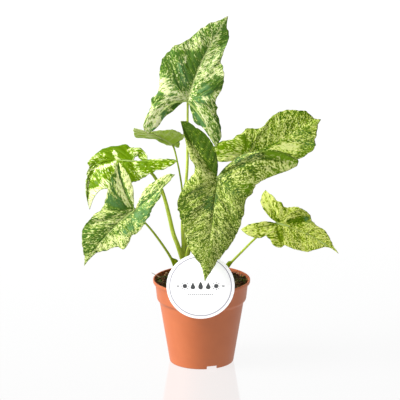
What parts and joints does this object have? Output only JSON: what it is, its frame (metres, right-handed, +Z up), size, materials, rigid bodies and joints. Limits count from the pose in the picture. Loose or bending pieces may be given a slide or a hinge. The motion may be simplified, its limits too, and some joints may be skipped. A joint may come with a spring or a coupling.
{
  "type": "arrowhead plant",
  "caption": "Variegated arrowhead houseplant: arrow-shaped leaves on slender stalks, standing in soil in a tapered terracotta-coloured nursery pot with a round white tag.",
  "frame": {"origin": "on the surface that the pot stands on, under the middle of the whole plant's outline", "axes": "+Z up, -Y towards the front with the tag, +X to the right seen from the front; the pot's own axis is parallel to Z at x -10.8 mm, y +8.7 mm"},
  "size_m": [0.3125, 0.1374, 0.43],
  "materials": {
    "pot": "satin",
    "soil": "matte",
    "tag": "satin",
    "stalk": "satin",
    "leaf": "satin"
  },
  "bodies": {
    "root": {"pot": "pot", "soil": "soil", "tag": "tag", "tag_stake": "tag", "stalks_centre": "stalk", "stalk_left": "stalk", "stalk_right": "stalk", "leaf_top": "leaf", "leaf_front": "leaf", "leaf_right_back": "leaf", "leaf_right_small": "leaf", "leaf_left_front": "leaf", "leaf_left_back": "leaf", "leaf_small": "leaf"}
  },
  "joints": []
}
